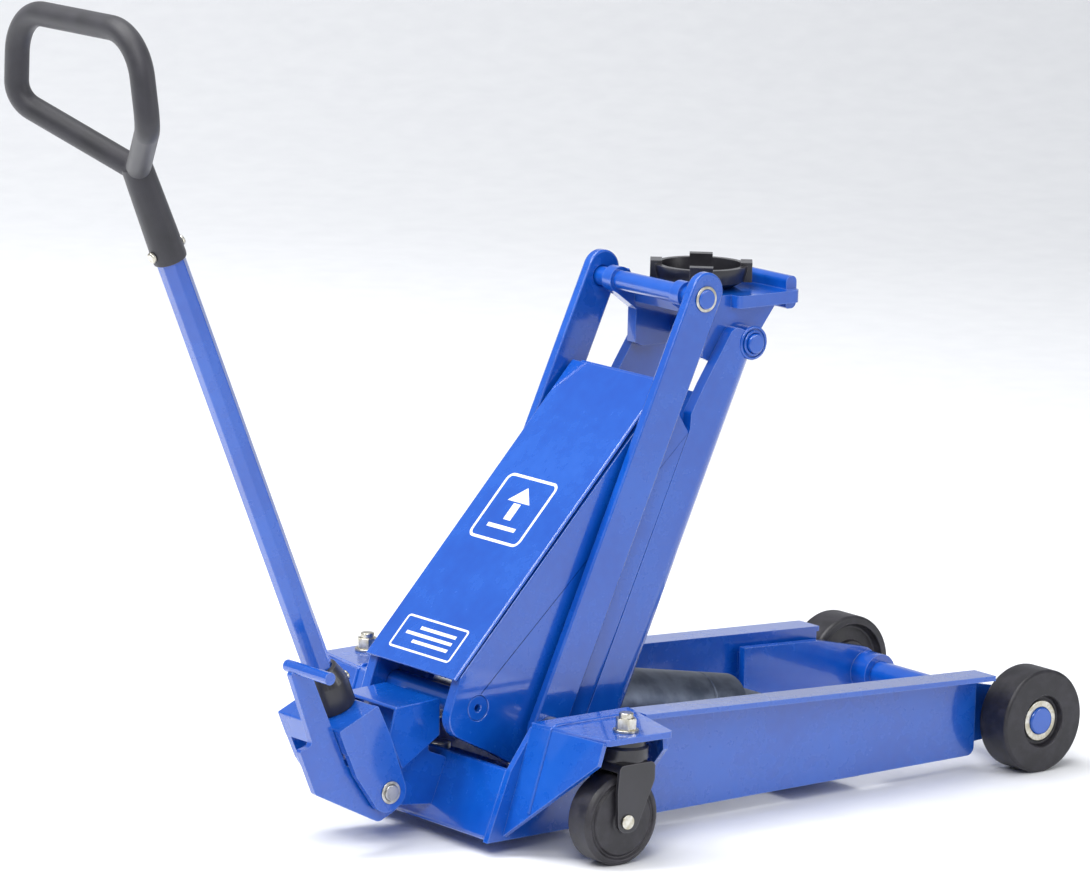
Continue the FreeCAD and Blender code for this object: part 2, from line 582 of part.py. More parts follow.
# A rounded lip stands across the front of the top plate.
lip_points = [(carrier_front - 15, CAR_TOP - 22), (carrier_front, CAR_TOP - 22),
              (carrier_front, CAR_TOP + 15), (carrier_front - 15, CAR_TOP + 15)]
front_lip = plate("FrontLip", lip_points, 10 - CAR_WIDE, str(2 * CAR_WIDE - 20), [3, 7, 7.2, 7.2],
                  show=False)
PIN_BOSS_R, EAR_R = 18.0, 15.0
under = CAR_TOP - CAR_T + 1
cheek_points = [(HEAD_X - 61, under), (HEAD_X - 61, HEAD_Z - 14), (HEAD_X - 50, HEAD_Z - 19),
                (HEAD_X + 6, HEAD_Z - 19), (HEAD_X + 17, HEAD_Z - 9), (HEAD_X + 22, HEAD_Z + 10),
                (carrier_front - 24, under)]
ear_points = [(LINK_TOP_X - 8, LINK_TOP_Z - 12), (HEAD_X - 55, HEAD_Z + 20), (HEAD_X - 55, under),
              (LINK_TOP_X + 12, LINK_TOP_Z + 12)]
rear_wall = block(carrier_rear, -CAR_OUT, HEAD_Z + 33, 8, 2 * CAR_OUT, CAR_TOP - HEAD_Z - 34)
carrier_holes = [(HEAD_X, HEAD_Z, PIN_R + 0.01), (LINK_TOP_X, LINK_TOP_Z, SHAFT_R + FIT)]
carrier_pieces = [top_plate, front_lip, rear_wall]
for y in (CAR_IN, -CAR_OUT):
    carrier_pieces.append(plate("CarrierCheek", cheek_points, y, str(CAR_OUT - CAR_IN), show=False))
    carrier_pieces.append(plate("CarrierEar", ear_points, y, str(CAR_OUT - CAR_IN), show=False))
    for x, z, boss in ((HEAD_X, HEAD_Z, PIN_BOSS_R), (LINK_TOP_X, LINK_TOP_Z, EAR_R)):
        carrier_pieces.append(rod(x, y, z, ALONG_Y, str(boss), str(CAR_OUT - CAR_IN)))
carrier_solid = fused("CarrierSolid", carrier_pieces, show=False)
for x, z, radius in carrier_holes:
    bore = rod(x, -CAR_OUT - 5, z, ALONG_Y, str(radius), str(2 * CAR_OUT + 10))
    carrier_solid = cut("CarrierBored", carrier_solid, bore, show=False)
keep(carrier_solid, "saddle_carrier")
pin_half = PLATE_OUT + 7.0
carrier_pin_outline = [(0, -pin_half), (PIN_R - 1, -pin_half), (PIN_R, 1 - pin_half),
                       (PIN_R, pin_half - 1), (PIN_R - 1, pin_half), (0, pin_half)]
turned("carrier_pin", carrier_pin_outline, aim(HEAD_X, 0, HEAD_Z, ALONG_Y))
collars = [ring(HEAD_X, way * (PLATE_OUT + 0.3), HEAD_Z, ACROSS[way], PIN_R + 0.01, 14.5, 2.6)
           for side, way in SIDES]
group("carrier_pin_collars", collars)

# ---------------------------------------------------------------- saddle
SAD_TOP, SAD_R = dim("saddle_top"), dim("saddle_rad")
cup = turned("Cup", [(0, CAR_TOP + 0.4), (36, CAR_TOP + 0.4), (SAD_R - 7, CAR_TOP + 8),
                     (SAD_R - 4, SAD_TOP - 9), (SAD_R - 4, SAD_TOP - 4), (SAD_R - 11, SAD_TOP - 4),
                     (SAD_R - 13, CAR_TOP + 9), (0, CAR_TOP + 9)],
             aim(SAD_X, 0, 0), show=False)
lugs = []
for k in range(4):
    turn = math.radians(45 + 90 * k + 5)
    lug = block(SAD_R - 13, -13, SAD_TOP - 22, 13, 26, 22)
    lug.Placement = Placement(Vector(SAD_X, 0, 0), Rotation(Vector(0, 0, 1), math.degrees(turn))) \
        .multiply(Placement(Vector(SAD_R - 13, -13, SAD_TOP - 22), Rotation()))
    lugs.append(lug)
spigot = rod(SAD_X, 0, CAR_TOP - CAR_T - 6, (0, 0, 1), "20", str(CAR_T + 8))
fused("saddle", [cup, spigot] + lugs)

# ---------------------------------------------------------------- hydraulic ram
reach_x, reach_z = RAM_X - ANCHOR_X, RAM_Z - ANCHOR_Z
REACH = math.hypot(reach_x, reach_z)
RAM_DIR = (reach_x / REACH, 0, reach_z / REACH)


def on_ram(distance):
    """A point on the ram's axis, this far behind its front pivot."""
    return (ANCHOR_X + RAM_DIR[0] * distance, 0, ANCHOR_Z + RAM_DIR[2] * distance)


B_R = dim("barrel_rad")
ROD_R = dim("rod_rad")
barrel_place = aim(*on_ram(0), RAM_DIR)
cap_z, barrel_end = 34.0, 268.0
bore_r = B_R - 8
barrel_tube = turned("Tube", [(0, cap_z), (B_R - 6, cap_z), (B_R, cap_z + 6), (B_R, cap_z + 50),
                              (B_R - 0.8, cap_z + 51), (B_R - 0.8, cap_z + 54), (B_R, cap_z + 55),
                              (B_R, barrel_end), (bore_r, barrel_end), (bore_r, cap_z + 24),
                              (0, cap_z + 24)], barrel_place, show=False)
eye = rod(ANCHOR_X, -20, ANCHOR_Z, ALONG_Y, "24", "40")
tongue = doc.addObject("Part::Box", "Tongue")
tongue.Length, tongue.Width, tongue.Height = 42, 40, 40
slope = math.degrees(math.atan2(reach_z, -reach_x))
tongue.Placement = Placement(Vector(ANCHOR_X, 0, ANCHOR_Z), Rotation(Vector(0, 1, 0), slope)) \
    .multiply(Placement(Vector(-42, -20, -20), Rotation()))
barrel_solid = fused("BarrelSolid", [barrel_tube, eye, tongue], show=False)
anchor_bore = rod(ANCHOR_X, -30, ANCHOR_Z, ALONG_Y, "14.05", "60")
keep(cut("BarrelBored", barrel_solid, anchor_bore, show=False), "ram_barrel")
gland_outline = [(ROD_R + FIT, barrel_end - 14), (bore_r - 0.02, barrel_end - 14),
                 (bore_r - 0.02, barrel_end), (bore_r + 4, barrel_end), (bore_r + 4, barrel_end + 6),
                 (ROD_R + FIT, barrel_end + 6)]
turned("ram_gland", gland_outline, barrel_place)
piston_at = barrel_end - 14 - 34
turned("ram_piston", [(ROD_R - 6 + 0.02, piston_at), (bore_r - FIT, piston_at),
                      (bore_r - FIT, piston_at + 9), (bore_r - 4, piston_at + 9),
                      (bore_r - 4, piston_at + 15), (bore_r - FIT, piston_at + 15),
                      (bore_r - FIT, piston_at + 30), (ROD_R - 6 + 0.02, piston_at + 30)], barrel_place)
turned("piston_seal", [(bore_r - 3.98, piston_at + 9.2), (bore_r - 0.03, piston_at + 9.2),
                       (bore_r - 0.03, piston_at + 14.8), (bore_r - 3.98, piston_at + 14.8)],
       barrel_place)
# The rod's head bears on the ram pin from in front, in a shallow cup.
head_at = REACH - dim("ram_pin_rad")
rod_body = turned("RodTurned", [(0, piston_at - 4), (ROD_R - 6, piston_at - 4), (ROD_R - 6, piston_at + 30),
                                (ROD_R, piston_at + 30), (ROD_R, head_at - 22), (26, head_at - 16),
                                (26, head_at - 1), (25, head_at + 2), (0, head_at + 2)],
                  barrel_place, show=False)
cup_cut = rod(RAM_X, -40, RAM_Z, ALONG_Y, "Dims.ram_pin_rad + Dims.gap", "80")
keep(cut("RodCupped", rod_body, cup_cut, show=False), "ram_rod")

# Anchor: a foot and two lugs on the cross plate, with the pin that the barrel swings on.
FOOT_HALF = 40.0
foot = block(ANCHOR_X - 24, -FOOT_HALF, LOW + PAN_T, 62, 2 * FOOT_HALF, 16)
lug_points = [(ANCHOR_X - 24, LOW + PAN_T + 4), (ANCHOR_X + 38, LOW + PAN_T + 4),
              (ANCHOR_X + 22, ANCHOR_Z + 22), (ANCHOR_X - 22, ANCHOR_Z + 22)]
lug_plates = [plate("Lug", lug_points, y, "12", [0, 0, 21, 21], [(ANCHOR_X, ANCHOR_Z, 14.01)], show=False)
              for y in (22, -34)]
fused("ram_anchor", [cross_plate, foot] + lug_plates)
keep(rod(ANCHOR_X, -40, ANCHOR_Z, ALONG_Y, "14", "80"), "anchor_pin")

# ---------------------------------------------------------------- pump, hood and pipe
YOKE_X, YOKE_Z = back(dim("yoke_back")), dim("yoke_high")
PUMP_HALF = 34.0
pump_body_points = [(YOKE_X - 17, YOKE_Z - 18), (wall_x(36), 36), (wall_x(86), 86), (REAR + 2, 96),
                    (REAR + 2, 150.5), (REAR - 42, 150.5), (REAR - 44, 92), (YOKE_X - 17, YOKE_Z + 18)]
pump = plate("PumpBlock", pump_body_points, -PUMP_HALF, "68", [15, 2, 4, 4, 4, 4, 2, 15], show=False)
slot_cut = block(YOKE_X - 40, -22, YOKE_Z - 40, REAR - 48 - YOKE_X + 40, 44, 90)
pump = cut("PumpSlotted", pump, slot_cut, show=False)
pin_bore = rod(YOKE_X, -60, YOKE_Z, ALONG_Y, "9.02", "120")
pump = cut("PumpBored", pump, pin_bore, show=False)
PLUNGE_Z = YOKE_Z + 46
plunge_bore = rod(REAR - 52, 0, PLUNGE_Z, (1, 0, 0), "8.05", "46")
pump = cut("PumpPlungerBore", pump, plunge_bore, show=False)
valve_x = REAR - 22
valve_bore = rod(valve_x, PUMP_HALF - 19, 58, ALONG_Y, "7.02", "20")
pump = cut("PumpValveBore", pump, valve_bore, show=False)
keep(pump, "pump_block")
turned("release_valve", [(0, 2), (7, 2), (7, 19), (11, 19), (11, 27), (9, 29), (0, 29)],
       aim(valve_x, PUMP_HALF - 18, 58, (0, 1, 0)))
keep(rod(YOKE_X + 0.6, 0, PLUNGE_Z, (1, 0, 0), "8", "56"), "pump_plunger")

# The hood is a folded sheet, open to the rear and below.
hood_outer = [(back(818), 84), (back(836), 124), (back(828), 154), (back(768), 157), (back(767), 116)]
hood_inner = [(back(900), 60), (back(900), 150.8), (back(829), 150.8), (back(771), 153.8),
              (back(771), 60)]
hood_shell = plate("HoodShell", hood_outer, -47, "94", [2, 4, 3, 3, 2], show=False)
hood_void = plate("HoodVoid", hood_inner, -44, "88", show=False)
keep(cut("HoodCut", hood_shell, hood_void, show=False), "pump_hood")

TANK_Y, TANK_X = 58.0, REAR + 33
tank = block(TANK_X, -TANK_Y, LOW + PAN_T, 62, 2 * TANK_Y, 54)
tank_round = doc.addObject("Part::Fillet", "TankRound")
tank_round.Base = tank
doc.recompute()
tank_round.Edges = [(i + 1, 8, 8) for i, e in enumerate(tank.Shape.Edges)
                    if abs(e.BoundBox.ZLength) < 1e-6 and e.BoundBox.ZMin > LOW + PAN_T + 50]
keep(tank_round, "oil_tank")
turned("filler_plug", [(0, 0), (8, 0), (8, 2), (11, 2), (11, 8), (9, 9.5), (0, 9.5)],
       aim(TANK_X + 36, 30, LOW + PAN_T + 54))


def pipe_path(points, radii):
    """A wire of straight runs joined by tangent arcs."""
    corners = [Vector(*p) for p in points]
    edges, at = [], corners[0]
    for i in range(1, len(corners) - 1):
        before = corners[i - 1] - corners[i]
        after = corners[i + 1] - corners[i]
        before.normalize()
        after.normalize()
        half = before.getAngle(after) / 2
        reach = radii / math.tan(half)
        middle = before + after
        middle.normalize()
        centre = corners[i] + middle * (radii / math.sin(half))
        first, last = corners[i] + before * reach, corners[i] + after * reach
        edges.append(Part.LineSegment(at, first).toShape())
        edges.append(Part.Arc(first, centre - middle * radii, last).toShape())
        at = last
    edges.append(Part.LineSegment(at, corners[-1]).toShape())
    return Part.Wire(edges)


def swept(label, points, bend, radius):
    path = pipe_path(points, bend)
    begin = Vector(*points[0])
    heading = Vector(*points[1]) - begin
    section = Part.Wire([Part.makeCircle(radius, begin, heading)])
    feature = doc.addObject("Part::Feature", label)
    feature.Shape = path.makePipeShell([section], True, False)
    return feature


PIPE_FROM, PIPE_TO = TANK_X + 40, ANCHOR_X + 16
pipe_points = [(PIPE_FROM, TANK_Y + 6, PIPE_Z), (PIPE_FROM, PIPE_SIDE, PIPE_Z),
               (PIPE_TO, PIPE_SIDE, PIPE_Z), (PIPE_TO, FOOT_HALF + 6, PIPE_Z)]
pipe = swept("Pipe", pipe_points, 20, PIPE_RAD)
union_outline = [(0, 0), (UNION_R, 0), (UNION_R, UNION_LONG), (0, UNION_LONG)]
unions = [turned("Union", union_outline, aim(PIPE_FROM, TANK_Y, PIPE_Z, ALONG_Y), show=False),
          turned("Union", union_outline, aim(PIPE_TO, FOOT_HALF, PIPE_Z, ALONG_Y), show=False)]
fused("oil_pipe", [pipe] + unions)

# ---------------------------------------------------------------- handle yoke and pedal
LEAN = math.radians(dim("handle_lean"))
UP = (-math.sin(LEAN), math.cos(LEAN))
FORE = (math.cos(LEAN), math.sin(LEAN))


def yoke_point(up, fore):
    """X and Z of a point up the handle's axis from the yoke pin, and forward of it."""
    return (YOKE_X + UP[0] * up + FORE[0] * fore, YOKE_Z + UP[1] * up + FORE[1] * fore)


HANDLE_DIR = (UP[0], 0, UP[1])
YOKE_IN, YOKE_T = 48.0, 8.0
cheek = [yoke_point(*p) for p in ((-20, -20), (-20, 20), (60, 24), (98, 22), (98, -34), (40, -33))]
YOKE_OUT = YOKE_IN + YOKE_T
pieces = [plate("YokeCheek", cheek, y, "8", [19, 19, 10, 2, 2, 10], show=False)
          for y in (YOKE_IN, -YOKE_OUT)]
deck = [yoke_point(*p) for p in ((90, 22), (98, 22), (98, -34), (90, -34))]
pieces.append(plate("YokeDeck", deck, -YOKE_OUT, str(2 * YOKE_OUT), [0, 3, 3, 0], show=False))
wall = [yoke_point(*p) for p in ((68, -34), (68, -27), (97, -27), (97, -34))]
pieces.append(plate("YokeWall", wall, -YOKE_OUT, str(2 * YOKE_OUT), [0, 0, 2, 2], show=False))
cam_x, cam_z = yoke_point(45, 11)
pieces.append(rod(cam_x, -YOKE_OUT + 1, cam_z, ALONG_Y, "7.5", str(2 * YOKE_OUT - 2)))
yoke_solid = fused("YokeSolid", pieces, show=False)
yoke_bore = rod(YOKE_X, -70, YOKE_Z, ALONG_Y, "9.05", "140")
yoke_solid = cut("YokeBored", yoke_solid, yoke_bore, show=False)
spindle_bore = rod(*(yoke_point(80, 0)[0], 0, yoke_point(80, 0)[1]), HANDLE_DIR, "12.05", "30")
keep(cut("YokeDrilled", yoke_solid, spindle_bore, show=False), "handle_yoke")
PIN_END = 60.0
pin_outline = [(0, -PIN_END), (8, -PIN_END), (9, 1 - PIN_END), (9, PIN_END - 1), (8, PIN_END), (0, PIN_END)]
turned("yoke_pin", pin_outline, aim(YOKE_X, 0, YOKE_Z, ALONG_Y))
group("yoke_pin_rings", [ring(YOKE_X, way * (YOKE_OUT + 0.4), YOKE_Z, ACROSS[way], 9.01, 12.5, 1.5)
                         for side, way in SIDES])

# The foot pedal is a plate inside the near cheek, hung on the yoke pin and resting on the rear wall.
PEDAL_IN, PEDAL_T = 37.0, 8.0
pedal_outline = [yoke_point(*p) for p in ((-29, -20), (-29, 14), (4, 27), (30, 16), (50, -34.2),
                                          (178, -36), (186, -60), (96, -64), (100, -82), (44, -82))]
pedal_radii = [10, 20, 16, 16, 8, 4, 4, 6, 3, 8]
pedal_plate = plate("PedalPlate", pedal_outline, -PEDAL_IN - PEDAL_T, "8", pedal_radii,
                    [(YOKE_X, YOKE_Z, 9.05)], show=False)
bar_x, bar_z = yoke_point(186, -50)
BAR_NEAR, BAR_FAR = 104.0, 28.0
foot_bar = rod(bar_x, -BAR_NEAR, bar_z, ALONG_Y, "6.8", str(BAR_NEAR - BAR_FAR))
fused("foot_pedal", [pedal_plate, foot_bar])

# ---------------------------------------------------------------- handle
def handle_place(up):
    x, z = yoke_point(up, 0)
    return aim(x, 0, z, HANDLE_DIR)


TUBE_R = dim("tube_rad")
socket_turned = turned("SocketTurned", [(26, 98.3), (27, 100), (27, 128), (20, 146), (TUBE_R + 0.3, 147),
                                        (TUBE_R + 0.3, 112), (0, 112), (0, 70), (8, 70), (8, 80),
                                        (12, 81), (12, 98.3)], handle_place(0), show=False)
SOCKET_BOLT_UP, SPOT = 120.0, 25.5
FORE_DIR = (FORE[0], 0, FORE[1])
spots, socket_bolts = [], []
for way in (1, -1):
    outward = tuple(way * c for c in FORE_DIR)
    x, z = yoke_point(SOCKET_BOLT_UP, way * SPOT)
    spots.append(rod(x, 0, z, outward, "7", "12"))
    socket_bolts.append(turned("SocketBolt", [(0, 0), (6, 0), (6, 4.5), (4.8, 6), (0, 6)],
                               aim(x, 0, z, outward), show=False))
socket_cut = cut("SocketSpot", socket_turned, spots[0], show=False)
keep(cut("SocketSpots", socket_cut, spots[1], show=False), "handle_socket")
group("socket_bolts", socket_bolts)
octagon = [(TUBE_R * 1.03 * math.cos(math.radians(22.5 + 45 * k)),
            TUBE_R * 1.03 * math.sin(math.radians(22.5 + 45 * k))) for k in range(8)]
tube_body = doc.addObject("PartDesign::Body", "Tube")
tube_pad = tube_body.newObject("PartDesign::Pad", "Length")
tube_pad.Profile = sketch_on(tube_body, "XY_Plane",
                             loop_edges(octagon, 3) + [circle(0, 0, TUBE_R - 3)])
tube_pad.Length = 588
tube_body.Tip = tube_pad
tube_body.Placement = handle_place(112.3)
tube_body.Placement.Rotation = Rotation(Vector(0, 1, 0), -dim("handle_lean"))
keep(tube_body, "handle_tube")

# Grip: a sleeve over the tube's end and a closed loop. The loop's arms lean back from the fork
# to its widest corners, and its upper bow comes forward again.
G_R, G_HALF = dim("grip_tube_rad"), dim("grip_half")
SLEEVE_LOW, FORK_AT = 652.0, 762.0


def loop_point(side_y, up, fore):
    """A point of the grip loop: sideways, up the handle's axis from the fork, and forward of it."""
    x, z = yoke_point(FORK_AT + up, fore)
    return (x, side_y, z)


BOW_HALF, BOW_UP, BOW_FORE = G_HALF - 12, dim("grip_long"), -8.0
CORNER_UP = 84.0
loop_corners = [loop_point(0, -4, 0), loop_point(-G_HALF, CORNER_UP, -dim("grip_lean")),
                loop_point(-BOW_HALF, BOW_UP, BOW_FORE), loop_point(BOW_HALF, BOW_UP, BOW_FORE),
                loop_point(G_HALF, CORNER_UP, -dim("grip_lean"))]


def closed_tube(points, bends, radius):
    """A closed round tube through rounded corners, starting in the middle of the third run."""
    corners = [Vector(*p) for p in points]
    count = len(corners)
    edges, firsts, lasts = [], [], []
    for i in range(count):
        before = corners[i - 1] - corners[i]
        after = corners[(i + 1) % count] - corners[i]
        before.normalize()
        after.normalize()
        half = before.getAngle(after) / 2
        reach = bends[i] / math.tan(half)
        middle = before + after
        middle.normalize()
        centre = corners[i] + middle * (bends[i] / math.sin(half))
        firsts.append(corners[i] + before * reach)
        lasts.append(corners[i] + after * reach)
        edges.append(Part.Arc(firsts[i], centre - middle * bends[i], lasts[i]).toShape())
    loop = []
    for i in range(count):
        loop.append(edges[i])
        loop.append(Part.LineSegment(lasts[i], firsts[(i + 1) % count]).toShape())
    solids = []
    for edge in loop:
        start_at = edge.valueAt(edge.FirstParameter)
        heading = edge.tangentAt(edge.FirstParameter)
        section = Part.Wire([Part.makeCircle(radius, start_at, heading)])
        solids.append(Part.Wire([edge]).makePipeShell([section], True, False))
    whole = solids[0].multiFuse(solids[1:])
    return whole.removeSplitter()


loop_feature = doc.addObject("Part::Feature", "GripLoop")
loop_feature.Shape = closed_tube(loop_corners, [16, 30, 52, 52, 30], G_R)
sleeve = turned("Sleeve", [(0, SLEEVE_LOW), (18, SLEEVE_LOW), (18.5, SLEEVE_LOW + 3), (17, FORK_AT - 20),
                           (16.5, FORK_AT + 2), (10, FORK_AT + 10), (0, FORK_AT + 12)],
                handle_place(0), show=False)
sleeve.Placement.Rotation = Rotation(Vector(0, 1, 0), -dim("handle_lean"))
grip_solid = fused("GripSolid", [loop_feature, sleeve], show=False)
grip_bore = rod(*(yoke_point(SLEEVE_LOW - 5, 0)[0], 0, yoke_point(SLEEVE_LOW - 5, 0)[1]), HANDLE_DIR,
                "Dims.tube_rad * 1.03 + 0.1", str(700.6 - SLEEVE_LOW + 5))
keep(cut("GripBored", grip_solid, grip_bore, show=False), "handle_grip")
grip_bolts = []
GRIP_BOLT_UP = 664.0
x, z = yoke_point(GRIP_BOLT_UP, 0)
for side, way in SIDES:
    outward = tuple(way * c for c in FORE_DIR)
    grip_bolts.append(turned("GripBolt", [(0, 18.4), (6, 18.4), (6, 21), (4.5, 22.5), (0, 22.5)],
                             aim(x, 0, z, outward), show=False))
group("grip_bolts", grip_bolts)

# ---------------------------------------------------------------- checks and files
doc.recompute()
faults = []
for thing in doc.Objects:
    if "Invalid" in thing.State or "Error" in thing.State:
        faults.append((thing.Name, thing.Label, thing.State))
for thing in subparts:
    shape = thing.Shape
    if shape.isNull() or not shape.isValid() or not shape.Solids:
        faults.append((thing.Label, "shape"))
if faults:
    raise RuntimeError(f"faulty objects: {faults}")
os.makedirs("parts", exist_ok=True)
for old in os.listdir("parts"):
    if old.endswith(".step"):
        os.remove(os.path.join("parts", old))
whole = FreeCAD.BoundBox()
for thing in subparts:
    thing.Shape.exportStep(f"parts/{thing.Label}.step")
    whole.add(thing.Shape.BoundBox)
    print(f"{thing.Label:24s} solids {len(thing.Shape.Solids)} volume {thing.Shape.Volume:12.0f}")
print(len(subparts), "nodes; box", whole)
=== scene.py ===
# %% [markdown]
# # A workshop trolley jack
# A steel chassis on four small wheels carries a lifting arm, a ram, a pump and a long handle. The packed
# frame gives every plate its place and its motion. This lesson gives those plates rolled edges, paint, weld
# beads and printed marks. Everything is in metres in the frame's own axes.

# %% Load the frame
import json
import math
import bmesh
import bpy
from mathutils import Matrix, Vector
from mathutils.bvhtree import BVHTree


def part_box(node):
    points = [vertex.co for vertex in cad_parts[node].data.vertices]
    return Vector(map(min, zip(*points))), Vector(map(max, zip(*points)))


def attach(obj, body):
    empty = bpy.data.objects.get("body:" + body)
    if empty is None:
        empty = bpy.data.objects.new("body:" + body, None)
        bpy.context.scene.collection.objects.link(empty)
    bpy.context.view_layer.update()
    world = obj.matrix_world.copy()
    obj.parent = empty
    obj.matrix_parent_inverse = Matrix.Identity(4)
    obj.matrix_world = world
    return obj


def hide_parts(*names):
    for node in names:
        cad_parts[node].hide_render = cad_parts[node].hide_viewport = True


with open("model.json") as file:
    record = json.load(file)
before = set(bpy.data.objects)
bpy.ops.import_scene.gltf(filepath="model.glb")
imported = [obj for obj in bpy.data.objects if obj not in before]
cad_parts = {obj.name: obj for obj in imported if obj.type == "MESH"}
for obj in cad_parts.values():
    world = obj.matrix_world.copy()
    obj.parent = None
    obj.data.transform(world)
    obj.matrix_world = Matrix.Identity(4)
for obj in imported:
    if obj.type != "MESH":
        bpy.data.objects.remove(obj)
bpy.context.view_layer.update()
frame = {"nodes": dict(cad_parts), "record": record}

MM = 0.001
body_of_node = {node: body for body, members in frame["record"]["behaviour"]["bodies"].items()
                for node in members}

# %% [markdown]
# ## Camera, floor and light
# A product picture of a jack is taken from far off with a long lens, a little above the saddle's height. The
# camera is placed by its bearing, height angle and distance from the middle of the front axle. A pale floor
# and four big soft lamps give the long clean highlights that gloss enamel needs.

# %% Camera
BEARING, HEIGHT_ANGLE, ROLL = math.radians(-39.035), math.radians(10.915), math.radians(1.509)
EYE_FROM_AXLE = Vector((-4.8488, -5.2491, 1.7218))
LENS, FILM = 206.6, 36.0
axle_low, axle_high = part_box("front_axle")
axle = (axle_low + axle_high) / 2
scene = bpy.context.scene
camera_data = bpy.data.cameras.new("jack_camera")
camera_data.lens, camera_data.sensor_width, camera_data.sensor_fit = LENS, FILM, "HORIZONTAL"
camera_data.clip_end = 60
camera = bpy.data.objects.new("jack_camera", camera_data)
scene.collection.objects.link(camera)
backward = Vector((math.sin(BEARING) * math.cos(HEIGHT_ANGLE),
                   -math.cos(BEARING) * math.cos(HEIGHT_ANGLE),
                   math.sin(HEIGHT_ANGLE)))
rightward = Vector((math.cos(BEARING), math.sin(BEARING), 0))
upward = backward.cross(rightward)
right_rolled = rightward * math.cos(ROLL) + upward * math.sin(ROLL)
up_rolled = upward * math.cos(ROLL) - rightward * math.sin(ROLL)
turn = Matrix((right_rolled, up_rolled, backward)).transposed()
camera.matrix_world = Matrix.Translation(Vector((axle.x, 0, 0)) + EYE_FROM_AXLE) @ turn.to_4x4()
scene.camera = camera
print("camera stands", round((camera.location - Vector((axle.x, 0, 0))).length, 2), "m from the front axle")

# %% [markdown]
# ## Shader sums as plain Python
# Enamel, zinc and moulded grips all need small sums of noise and masks. `Wire` wraps a socket so that `+`,
# `-` and `*` add Math nodes, and `Finish` owns one material and adds any other node through one method.


# %% Wires and finishes
class Wire:
    """An output socket that takes part in Python sums; each sum adds a Math node."""

    def __init__(self, finish, socket):
        self.finish, self.socket = finish, socket

    def sum(self, operation, first, second):
        return self.finish.add("ShaderNodeMath", {"operation": operation}, {0: first, 1: second})

    def __add__(self, other):
        return self.sum("ADD", self, other)

    def __sub__(self, other):
        return self.sum("SUBTRACT", self, other)

    def __rsub__(self, other):
        return self.sum("SUBTRACT", other, self)

    def __mul__(self, other):
        return self.sum("MULTIPLY", self, other)

    def above(self, edge, soft):
        """0 below the edge and 1 above it, with a soft step."""
        settings = {"interpolation_type": "SMOOTHSTEP"}
        return self.finish.add("ShaderNodeMapRange", settings,
                               {"Value": self, "From Min": edge - soft, "From Max": edge + soft})

    __radd__ = __add__
    __rmul__ = __mul__


class Finish:
    """A material whose nodes are all added by one method."""

    def __init__(self, name):
        self.material = bpy.data.materials.new(name)
        self.material.use_nodes = True
        self.tree = self.material.node_tree
        self.shader = self.tree.nodes["Principled BSDF"]
        self.place = self.add("ShaderNodeTexCoord", output="Object")

    def add(self, kind, settings=None, inputs=None, output=0):
        """Add a node: its settings first, then the values or links of its sockets."""
        node = self.tree.nodes.new(kind)
        for key, value in (settings or {}).items():
            setattr(node, key, value)
        for key, value in (inputs or {}).items():
            self.join(node.inputs[key], value)
        return Wire(self, node.outputs[output])

    def join(self, socket, value):
        if isinstance(value, Wire):
            self.tree.links.new(value.socket, socket)
        else:
            socket.default_value = value

    def set(self, **sockets):
        """Values or wires for the shader's own sockets; an underscore stands for a space."""
        for key, value in sockets.items():
            self.join(self.shader.inputs[key.replace("_", " ")], value)

    def noise(self, scale, detail=2.0, rough=0.5, stretch=None):
        """Fine mottle with this many grains a metre, drawn out along an axis if stretch is given."""
        place = self.place
        if stretch:
            place = self.add("ShaderNodeMapping", None, {"Vector": place, "Scale": stretch})
        return self.add("ShaderNodeTexNoise", None,
                        {"Vector": place, "Scale": scale, "Detail": detail, "Roughness": rough})

    def blend(self, mask, low, high):
        """One colour where the mask is 0 and another where it is 1."""
        return self.add("ShaderNodeMix", {"data_type": "RGBA"}, {0: mask, 6: low, 7: high}, output=2)

    def bump(self, height, depth):
        """A surface normal from a height; depth is in metres."""
        return self.add("ShaderNodeBump", None, {"Height": height, "Strength": 1.0, "Distance": depth},
                        output="Normal")

    def edges(self, reach):
        """1 along outside edges and corners, fading to 0 this far in, in metres."""
        rounded = self.add("ShaderNodeBevel", {"samples": 4}, {"Radius": reach}, output="Normal")
        flat = self.add("ShaderNodeNewGeometry", output="Normal")
        likeness = self.add("ShaderNodeVectorMath", {"operation": "DOT_PRODUCT"}, {0: rounded, 1: flat},
                            output="Value")
        return (1 - likeness) * 6.0


def shade(red, green, blue):
    """A colour from screen values of 0 to 255, as linear light."""
    return tuple((c / 255 / 12.92) if c <= 10 else ((c / 255 + 0.055) / 1.055) ** 2.4
                 for c in (red, green, blue)) + (1.0,)


print("shader helpers ready")

# %% [markdown]
# ## Blue gloss enamel
# Sprayed enamel on plate steel is a strong even blue with a fine orange peel, a millimetre or two from crest
# to crest. Worn edges are a shade lighter, and a little workshop dust dulls the gloss in soft patches.


# %% Enamel
def make_enamel(name, deep, light, gloss, peel=0.00006):
    finish = Finish(name)
    patches = finish.noise(9, 3)
    fine = finish.noise(75, 4)
    peel_height = finish.noise(620, 1) + finish.noise(240, 1) * 0.6
    rub = (finish.edges(0.0022) * (finish.noise(190, 3) * 1.6)).above(0.55, 0.3)
    body = finish.blend((patches * 0.7 + fine * 0.3).above(0.5, 0.22), deep, light)
    worn = finish.blend(rub * 0.35, body, shade(126, 156, 214))
    dust = (patches * 0.6 + fine * 0.4).above(0.58, 0.16)
    finish.set(Base_Color=worn, Roughness=dust * 0.12 + gloss + rub * 0.1, Coat_Weight=0.9,
               Coat_Roughness=0.07, Normal=finish.bump(peel_height, peel), IOR=1.5)
    return finish.material


